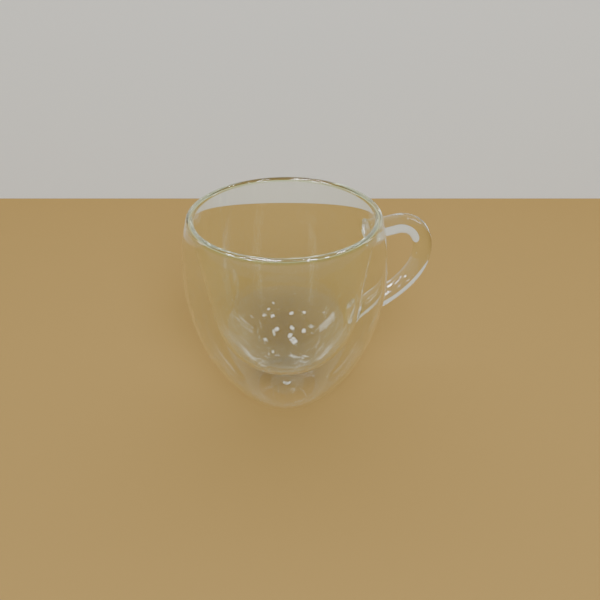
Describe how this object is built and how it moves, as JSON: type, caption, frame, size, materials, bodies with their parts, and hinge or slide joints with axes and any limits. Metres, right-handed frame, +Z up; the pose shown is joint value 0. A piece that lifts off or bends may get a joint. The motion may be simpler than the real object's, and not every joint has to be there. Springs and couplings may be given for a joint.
{
  "type": "double walled glass cup",
  "caption": "Clear double walled glass cup, egg shaped outside with a round inner bowl, a fused lip and a bent glass rod handle.",
  "frame": {"origin": "middle of the foot, on the plane the cup stands on", "axes": "+Z up through the middle of the mouth, +X towards the handle, the handle lies in the XZ plane"},
  "size_m": [0.1185, 0.085, 0.089],
  "materials": {
    "clear_glass": "blown and fire polished, clear",
    "melted_glass": "melted and fire polished, faintly green where thick"
  },
  "bodies": {
    "root": {"outer_bowl": "clear_glass", "inner_bowl": "clear_glass", "rim_seam": "melted_glass", "handle_rod": "clear_glass", "upper_weld": "melted_glass", "lower_weld": "melted_glass", "base_seal": "melted_glass"}
  },
  "joints": []
}
